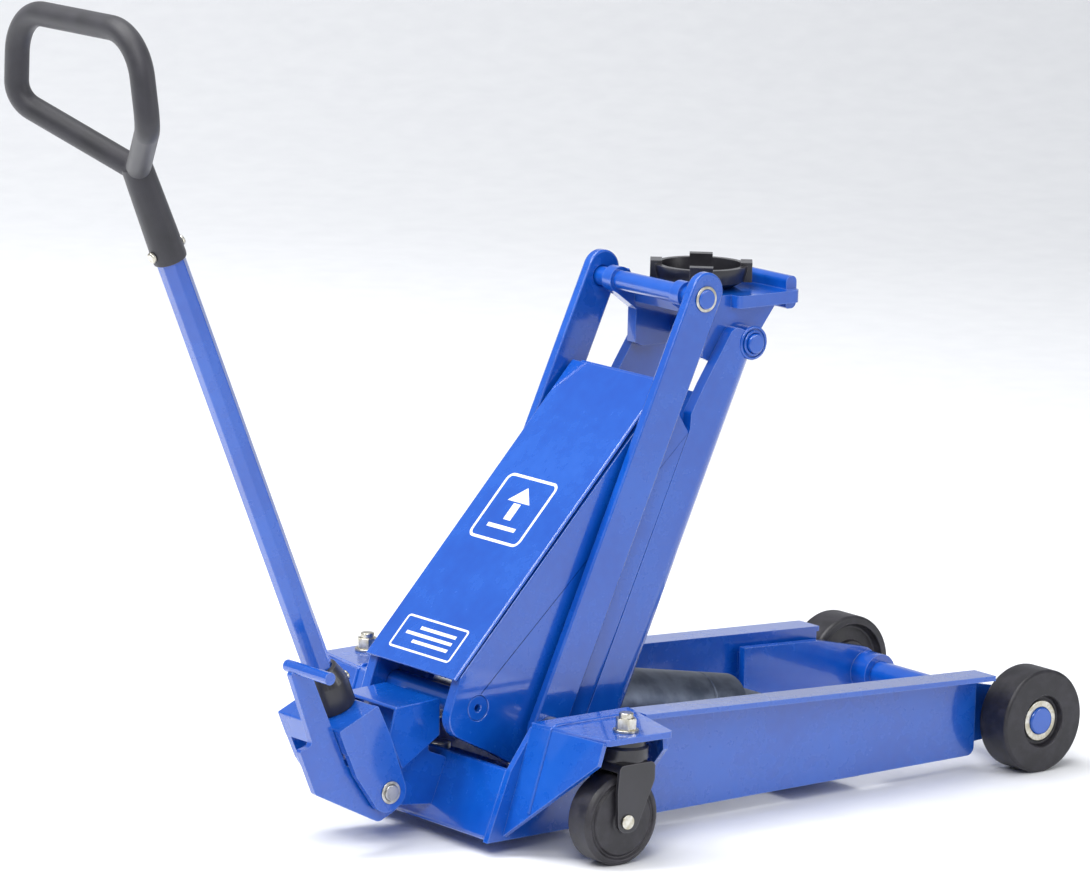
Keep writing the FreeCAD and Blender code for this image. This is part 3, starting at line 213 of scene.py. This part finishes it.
enamel = make_enamel("blue_enamel", shade(4, 70, 166), shade(8, 84, 182), 0.24)
enamel_thick = make_enamel("blue_enamel_thick", shade(4, 72, 168), shade(8, 84, 182), 0.28, 0.00012)
print("enamel", enamel.name, enamel_thick.name)

# %% [markdown]
# ## Black finishes
# Three blacks are told apart by their surface: the forks and saddle are painted iron with a sandy skin, the
# wheels are moulded with faint scuffs, and the grip is a soft grainy coating with a dull sheen.


# %% Blacks
def make_black_iron():
    finish = Finish("black_iron")
    sand = finish.noise(900, 3)
    patches = finish.noise(26, 3)
    rub = (finish.edges(0.002) * (finish.noise(240, 3) * 1.8)).above(0.6, 0.3)
    body = finish.blend(patches.above(0.5, 0.25), shade(22, 22, 27), shade(34, 33, 40))
    finish.set(Base_Color=finish.blend(rub * 0.6, body, shade(96, 94, 98)), Roughness=patches * 0.16 + 0.28,
               Coat_Weight=0.25, Coat_Roughness=0.2,
               Normal=finish.bump(sand + patches * 0.5, 0.00010))
    return finish.material


def make_wheel_black():
    finish = Finish("wheel_black")
    scuffs = finish.noise(60, 5, 0.65)
    grain = finish.noise(1300, 2)
    rub = (finish.edges(0.003) * (scuffs * 1.9)).above(0.5, 0.35)
    body = finish.blend(scuffs.above(0.55, 0.2), shade(27, 26, 31), shade(47, 45, 52))
    finish.set(Base_Color=finish.blend(rub * 0.5, body, shade(104, 100, 106)),
               Roughness=scuffs * 0.3 + 0.3, Normal=finish.bump(grain + scuffs, 0.00008))
    return finish.material


def make_grip_black():
    finish = Finish("grip_black")
    grain = finish.add("ShaderNodeTexVoronoi", None, {"Vector": finish.place, "Scale": 900.0},
                       output="Distance")
    patches = finish.noise(34, 3)
    body = finish.blend(patches.above(0.5, 0.25), shade(30, 30, 35), shade(44, 43, 50))
    finish.set(Base_Color=body, Roughness=patches * 0.2 + 0.42,
               Normal=finish.bump(grain * 0.8 + patches * 0.3, 0.00012), Sheen_Weight=0.12)
    return finish.material


black_iron, wheel_black, grip_black = make_black_iron(), make_wheel_black(), make_grip_black()
print("blacks", black_iron.name, wheel_black.name, grip_black.name)

# %% [markdown]
# ## Bare and plated steel
# Turned pins have a mottle drawn out along one axis. Zinc plate is brighter, with a cloudy grey and faint
# yellow cast. The ram's rod is ground and chromed, and bushes are bronze.


# %% Metals
def make_metal(name, dark, light, rough, stretch, cloud=40, pits=0.00003):
    finish = Finish(name)
    clouds = finish.noise(cloud, 4)
    marks = finish.noise(700, 2, 0.6, stretch)
    finish.set(Base_Color=finish.blend(clouds.above(0.5, 0.2), dark, light), Metallic=1.0,
               Roughness=clouds * 0.14 + marks * 0.12 + rough, Normal=finish.bump(marks + clouds * 0.4, pits))
    return finish.material


turned_steel = make_metal("turned_steel", shade(150, 151, 155), shade(190, 190, 192), 0.16, (1, 6, 1))
zinc_plate = make_metal("zinc_plate", shade(176, 170, 150), shade(214, 212, 204), 0.2, (1, 1, 1), 160)
chromed_steel = make_metal("chromed_steel", shade(205, 207, 210), shade(226, 227, 230), 0.04, (1, 1, 8))
barrel_grey = make_metal("barrel_grey", shade(84, 92, 108), shade(112, 120, 136), 0.3, (1, 1, 6), 50)
bronze = make_metal("bronze", shade(150, 106, 52), shade(186, 140, 78), 0.22, (6, 1, 1), 60)


def make_seal():
    finish = Finish("seal_rubber")
    grain = finish.noise(500, 3)
    finish.set(Base_Color=finish.blend(grain, shade(18, 18, 18), shade(30, 30, 30)),
               Roughness=grain * 0.2 + 0.5, Normal=finish.bump(grain, 0.00005))
    return finish.material


def make_print_white():
    finish = Finish("print_white")
    fine = finish.noise(420, 3)
    finish.set(Base_Color=finish.blend(fine.above(0.5, 0.2), shade(222, 226, 232), shade(240, 242, 246)),
               Roughness=fine * 0.12 + 0.28, Normal=finish.bump(fine, 0.00002), Coat_Weight=0.3)
    return finish.material


seal_rubber, print_white = make_seal(), make_print_white()
print("metals", turned_steel.name, zinc_plate.name, chromed_steel.name, bronze.name)

# %% [markdown]
# ## Floor and lamps
# The floor is a pale sheet that curves up far behind, so no horizon shows. A key lamp stands over the rear
# right, one fills from the front, one hangs overhead, and one lights the wall behind.


# %% Floor
def make_floor():
    finish = Finish("studio_paper")
    fibres = finish.noise(18, 4)
    finish.set(Base_Color=finish.blend(fibres, shade(236, 237, 240), shade(246, 247, 249)),
               Roughness=fibres * 0.1 + 0.62, Normal=finish.bump(fibres, 0.0001))
    mesh = bpy.data.meshes.new("studio_floor")
    reach, rise, steps, half_width = 9.0, 5.0, 14, 14
    rows = [(-reach, 0.0), (reach * 0.45, 0.0)]
    rows += [(reach * 0.45 + rise * math.sin(a), rise * (1 - math.cos(a)))
             for a in (math.pi / 2 * k / steps for k in range(1, steps + 1))]
    bm = bmesh.new()
    away = Vector((-math.sin(BEARING), math.cos(BEARING), 0))
    across = Vector((away.y, -away.x, 0))
    previous = None
    for run, high in rows:
        pair = [bm.verts.new(away * run + across * s * half_width + Vector((0, 0, high))) for s in (-1, 1)]
        if previous:
            face = bm.faces.new((previous[0], previous[1], pair[1], pair[0]))
            face.smooth = True
        previous = pair
    bmesh.ops.recalc_face_normals(bm, faces=bm.faces)
    bm.to_mesh(mesh)
    floor = bpy.data.objects.new("studio_floor", mesh)
    mesh.materials.append(finish.material)
    scene.collection.objects.link(floor)


def add_lamp(name, place, target, size, power):
    light = bpy.data.lights.new(name, "AREA")
    light.shape, light.size, light.size_y, light.energy = "RECTANGLE", size[0], size[1], power
    lamp = bpy.data.objects.new(name, light)
    heading = Vector(target) - Vector(place)
    lamp.matrix_world = Matrix.Translation(place) @ heading.to_track_quat("-Z", "Y").to_matrix().to_4x4()
    scene.collection.objects.link(lamp)


make_floor()
add_lamp("key_lamp", (-2.6, -2.8, 3.6), (0, 0, 0.3), (2.2, 2.2), 120)
add_lamp("fill_lamp", (2.6, -4.2, 2.0), (0, 0, 0.3), (2.0, 2.0), 60)
add_lamp("top_lamp", (-0.6, 0.4, 4.2), (0, 0, 0.2), (3.0, 2.4), 120)
add_lamp("wall_lamp", (-3.4, 1.6, 4.6), (-2.6, 5.5, 0.4), (3.0, 2.0), 420)
world = bpy.data.worlds.new("studio_air")
world.use_nodes = True
air = world.node_tree.nodes["Background"]
air.inputs["Color"].default_value = shade(240, 243, 248)
air.inputs["Strength"].default_value = 0.42
scene.world = world
scene.view_settings.view_transform = "Standard"
print("studio ready")

# %% [markdown]
# ## Plates with rolled edges
# The frame's plates meet at knife edges. Real plate is sawn, ground and sprayed, so every edge is a small
# round that catches the light. Each plate's loose triangles are merged, its flat faces are joined up, and a
# narrow bevel runs along the corners only.


# %% Softened plates
SHARP = math.radians(32)


def finished(obj, body, slot, *nodes):
    """Hang a finished mesh object on its body and let it stand for its CAD nodes."""
    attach(obj, body)
    if nodes:
        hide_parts(*nodes)


def mesh_object(name, mesh, material):
    obj = bpy.data.objects.new(name, mesh)
    mesh.materials.clear()
    mesh.materials.append(material)
    scene.collection.objects.link(obj)
    return obj


def settle(obj):
    """Turn an object's modifiers into plain mesh."""
    bpy.context.view_layer.update()
    plain = bpy.data.meshes.new_from_object(obj.evaluated_get(bpy.context.evaluated_depsgraph_get()))
    obj.modifiers.clear()
    obj.data = plain
    return obj


def merged_copy(node):
    """A CAD node's mesh as one welded surface, its flat triangles joined into whole faces."""
    bm = bmesh.new()
    bm.from_mesh(frame["nodes"][node].data)
    bmesh.ops.remove_doubles(bm, verts=bm.verts, dist=2e-6)
    bmesh.ops.dissolve_limit(bm, angle_limit=math.radians(0.6), verts=bm.verts, edges=bm.edges,
                             use_dissolve_boundaries=False)
    mesh = bpy.data.meshes.new(node + "_plate")
    bm.to_mesh(mesh)
    bm.free()
    return mesh


def soften(node, material, width=1.4 * MM, segments=2):
    """Stand a copy of a CAD node with rolled edges in its place."""
    slot = next(p["material_slot"] for p in frame["record"]["subparts"] if p["node"] == node)
    obj = mesh_object(node + "_shaped", merged_copy(node), material)
    if width:
        bevel = obj.modifiers.new("rolled_edges", "BEVEL")
        bevel.width, bevel.segments, bevel.limit_method = width, segments, "ANGLE"
        bevel.angle_limit = SHARP
        bevel.miter_outer = "MITER_ARC"
    obj.data.shade_smooth()
    even = obj.modifiers.new("even_shading", "WEIGHTED_NORMAL")
    even.keep_sharp = True
    even.weight = 80
    obj.data.set_sharp_from_angle(angle=SHARP)
    settle(obj)
    finished(obj, body_of_node[node], slot, node)
    return obj


PLATE_FINISH = {
    enamel: ["side_rail_left", "side_rail_right", "axle_cheek_left", "axle_cheek_right", "rear_pan",
             "caster_wing_left", "caster_wing_right", "arm_plate_left", "arm_plate_right", "arm_cover",
             "arm_channel", "link_bar_left", "link_bar_right", "pump_hood", "pump_block", "oil_tank",
             "ram_anchor", "handle_yoke", "foot_pedal", "handle_tube"],
    grip_black: ["handle_grip"],
    enamel_thick: ["saddle_carrier", "front_axle", "link_shaft", "ram_pin", "carrier_pin",
                   "carrier_pin_collars"],
    black_iron: ["caster_fork_left", "caster_fork_right", "handle_socket", "saddle"],
    zinc_plate: ["caster_nuts", "link_rings", "yoke_pin_rings", "axle_rings"],
}
ROLLED = {"side_rail_left": 1.2, "side_rail_right": 1.2, "arm_plate_left": 1.6, "arm_plate_right": 1.6,
          "handle_tube": 0.0, "pump_hood": 0.9, "rear_pan": 1.2, "link_bar_left": 2.2, "link_bar_right": 2.2,
          "saddle": 1.4, "front_axle": 2.0}
SMALL = 0.6
shaped = {}
for material, nodes in PLATE_FINISH.items():
    for node in nodes:
        width = ROLLED.get(node, SMALL if material is zinc_plate else 1.2)
        shaped[node] = soften(node, material, width * MM)
print("softened", len(shaped), "plates")

# %% [markdown]
# ## Round pieces
# Pins, bushes, wheels and the ram are turned, so they keep the frame's shape with a smaller round at the
# edges and a finish each.

# %% Turned pieces
TURNED = {
    barrel_grey: ["ram_barrel", "ram_piston"],
    turned_steel: ["arm_pivot_pins", "link_pivot_pins", "anchor_pin", "yoke_pin"],
    zinc_plate: ["caster_axle_left", "caster_axle_right", "grip_bolts", "socket_bolts", "release_valve",
                 "filler_plug", "oil_pipe", "caster_studs"],
    bronze: ["wheel_bush_left", "wheel_bush_right", "arm_pivot_bushes", "ram_gland"],
    chromed_steel: ["ram_rod", "pump_plunger"],
    wheel_black: ["front_wheel_left", "front_wheel_right", "caster_wheel_left", "caster_wheel_right"],
    seal_rubber: ["piston_seal"],
}
for material, nodes in TURNED.items():
    for node in nodes:
        width = 0.5 if material is not wheel_black else 1.2
        shaped[node] = soften(node, material, width * MM)
print("turned pieces", sum(len(nodes) for nodes in TURNED.values()))

# %% [markdown]
# ## Printed marks
# The cover carries a square badge with a plain lifting arrow and a framed row of bars. Each mark is a flat
# outline drawn in the cover's own slope, laid on the cover by casting rays at it, and given the thickness of
# a thick print.

# %% Printed marks
cover_tree = BVHTree.FromObject(shaped["arm_cover"], bpy.context.evaluated_depsgraph_get())
COVER_LOW = Vector((-0.1836, 0, 0.1824))
COVER_UP = Vector((0.6825, 0, 0.7309))
COVER_OUT = Vector((-0.7309, 0, 0.6825))
PRINT_THICK = 0.25 * MM
RAY_START = 40 * MM


def laid(along, across):
    """The point of the cover's outer face at this distance up the slope and across it, in millimetres."""
    above = COVER_LOW + COVER_UP * along * MM + Vector((0, across * MM, 0)) + COVER_OUT * RAY_START
    return cover_tree.ray_cast(above, -COVER_OUT)[0]


def band(outer, inner):
    """The faces of a closed band between two loops of the same count, as corner quads."""
    count = len(outer)
    return [(outer[k], outer[(k + 1) % count], inner[(k + 1) % count], inner[k]) for k in range(count)]


def oval(along, across, half_long, half_wide, corner, steps=8):
    """A rounded rectangle as a loop of points; it is a circle when the corner is both half sizes."""
    loop = []
    for quarter in range(4):
        sign_a = (1, -1, -1, 1)[quarter]
        sign_b = (1, 1, -1, -1)[quarter]
        for k in range(steps + 1):
            angle = math.pi / 2 * (quarter + k / steps)
            loop.append((along + sign_a * (half_long - corner) + corner * math.cos(angle),
                         across + sign_b * (half_wide - corner) + corner * math.sin(angle)))
    return loop


def print_mark(name, quads):
    bm = bmesh.new()
    for quad in quads:
        bm.faces.new([bm.verts.new(laid(*corner) - COVER_OUT * PRINT_THICK * 0.2) for corner in quad])
    bmesh.ops.remove_doubles(bm, verts=bm.verts, dist=1e-5)
    bmesh.ops.recalc_face_normals(bm, faces=bm.faces)
    grown = bmesh.ops.extrude_face_region(bm, geom=list(bm.faces))["geom"]
    lifted = [item for item in grown if isinstance(item, bmesh.types.BMVert)]
    bmesh.ops.translate(bm, verts=lifted, vec=COVER_OUT * PRINT_THICK * 1.2)
    bmesh.ops.recalc_face_normals(bm, faces=bm.faces)
    mesh = bpy.data.meshes.new(name)
    bm.to_mesh(mesh)
    bm.free()
    obj = mesh_object(name, mesh, print_white)
    finished(obj, body_of_node["arm_cover"], "blue_paint")


def strip(a_low, a_high, b_low, b_high):
    return [(a_low, b_low), (a_high, b_low), (a_high, b_high), (a_low, b_high)]


BADGE = (214, 8)
badge = band(oval(*BADGE, 44, 44, 10), oval(*BADGE, 40.5, 40.5, 6.5))
badge.append(strip(BADGE[0] - 27, BADGE[0] - 22, BADGE[1] - 24, BADGE[1] + 24))
badge.append(strip(BADGE[0] - 14, BADGE[0] + 8, BADGE[1] - 6, BADGE[1] + 6))
badge.append([(BADGE[0] + 10, BADGE[1] - 19), (BADGE[0] + 30, BADGE[1]), (BADGE[0] + 10, BADGE[1] + 19)])
print_mark("cover_badge", badge)
label = band(oval(38, 0, 22, 54, 5), oval(38, 0, 19.5, 51.5, 2.5))
for row in (-9, 0, 9):
    label.append(strip(36 + row, 40 + row, -40, 40 - abs(row) * 2))
print_mark("cover_label", label)
print("marks on the cover")

# %% [markdown]
# ## Weld beads
# The outrigger wings are welded to the rails, and a bead runs round each end of the head pin. One Geometry
# Nodes tree sweeps a round bead along a line and ripples it with noise.


# %% Weld beads
def make_bead_tree():
    tree = bpy.data.node_groups.new("bead_along_line", "GeometryNodeTree")
    face = tree.interface
    face.new_socket("Geometry", in_out="INPUT", socket_type="NodeSocketGeometry")
    for title, start in (("Radius", 2 * MM), ("Pitch", 1.5 * MM), ("Ripple", 0.8 * MM)):
        face.new_socket(title, in_out="INPUT", socket_type="NodeSocketFloat").default_value = start
    face.new_socket("Material", in_out="INPUT", socket_type="NodeSocketMaterial")
    face.new_socket("Geometry", in_out="OUTPUT", socket_type="NodeSocketGeometry")

    def add(kind, inputs=None, **settings):
        node = tree.nodes.new(kind)
        for key, value in settings.items():
            setattr(node, key, value)
        for key, value in (inputs or {}).items():
            if isinstance(value, bpy.types.NodeSocket):
                tree.links.new(value, node.inputs[key])
            else:
                node.inputs[key].default_value = value
        return node

    given = add("NodeGroupInput").outputs
    line = add("GeometryNodeMeshToCurve", {"Mesh": given["Geometry"]}).outputs["Curve"]
    even = add("GeometryNodeResampleCurve", {"Curve": line, "Length": given["Pitch"]}, mode="LENGTH")
    ring = add("GeometryNodeCurvePrimitiveCircle", {"Resolution": 12, "Radius": given["Radius"]})
    swept = add("GeometryNodeCurveToMesh", {"Curve": even.outputs[0], "Profile Curve": ring.outputs["Curve"],
                                            "Fill Caps": True})
    ripple = add("ShaderNodeTexNoise", {"Scale": 230.0, "Detail": 1.0})
    centred = add("ShaderNodeMath", {0: ripple.outputs[0], 1: 0.5}, operation="SUBTRACT")
    depth = add("ShaderNodeMath", {0: centred.outputs[0], 1: given["Ripple"]}, operation="MULTIPLY")
    outward = add("GeometryNodeInputNormal").outputs["Normal"]
    shift = add("ShaderNodeVectorMath", {0: outward, "Scale": depth.outputs[0]}, operation="SCALE")
    rough = add("GeometryNodeSetPosition", {"Geometry": swept.outputs[0], "Offset": shift.outputs[0]})
    real = add("GeometryNodeRealizeInstances", {"Geometry": rough.outputs[0]})
    smooth = add("GeometryNodeSetShadeSmooth", {"Geometry": real.outputs[0]})
    painted = add("GeometryNodeSetMaterial", {"Geometry": smooth.outputs[0], "Material": given["Material"]})
    add("NodeGroupOutput", {"Geometry": painted.outputs[0]})
    return tree


bead_tree = make_bead_tree()


def lay_beads(name, body, lines, radius, material=enamel_thick):
    """One mesh of beads along several lines of points."""
    bm = bmesh.new()
    for line in lines:
        verts = [bm.verts.new(point) for point in line]
        for first, second in zip(verts, verts[1:]):
            bm.edges.new((first, second))
    mesh = bpy.data.meshes.new(name)
    bm.to_mesh(mesh)
    bm.free()
    obj = mesh_object(name, mesh, material)
    modifier = obj.modifiers.new("beads", "NODES")
    modifier.node_group = bead_tree
    values = {"Radius": radius, "Material": material}
    for item in bead_tree.interface.items_tree:
        if item.in_out == "INPUT" and item.name in values:
            modifier[item.identifier] = values[item.name]
    settle(obj)
    finished(obj, body, "blue_paint")


SEAM_STEPS, SEAM_END, DROP_FROM = 24, 6 * MM, 50 * MM
HEAD_RING, HEAD_STEPS = 17.5 * MM, 40
chassis_lines = []
for side, way in (("left", 1), ("right", -1)):
    wing_low, wing_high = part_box("caster_wing_" + side)
    rail_low, rail_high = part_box("side_rail_" + side)
    seam_y = rail_high.y if way > 0 else rail_low.y
    tree = BVHTree.FromObject(shaped["caster_wing_" + side], bpy.context.evaluated_depsgraph_get())
    seam = []
    for k in range(SEAM_STEPS + 1):
        x = wing_low.x + SEAM_END + (wing_high.x - wing_low.x - 2 * SEAM_END) * k / SEAM_STEPS
        start = Vector((x, seam_y + way * 2 * MM, wing_high.z + DROP_FROM))
        hit = tree.ray_cast(start, Vector((0, 0, -1)))[0]
        if hit:
            seam.append(Vector((x, seam_y + way * 0.6 * MM, hit.z + 0.4 * MM)))
    chassis_lines.append(seam)
lay_beads("wing_welds", body_of_node["side_rail_left"], chassis_lines, 2.2 * MM)
head_low, head_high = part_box("carrier_pin_collars")
head = (head_low + head_high) / 2
channel_low, channel_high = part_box("arm_channel")
head_rings = []
for end_y in (channel_low.y, channel_high.y):
    head_rings.append([Vector((head.x + HEAD_RING * math.cos(a), end_y, head.z + HEAD_RING * math.sin(a)))
                       for a in (math.tau * k / HEAD_STEPS for k in range(HEAD_STEPS + 1))])
lay_beads("head_welds", body_of_node["arm_channel"], head_rings, 1.8 * MM)
print("weld beads laid")
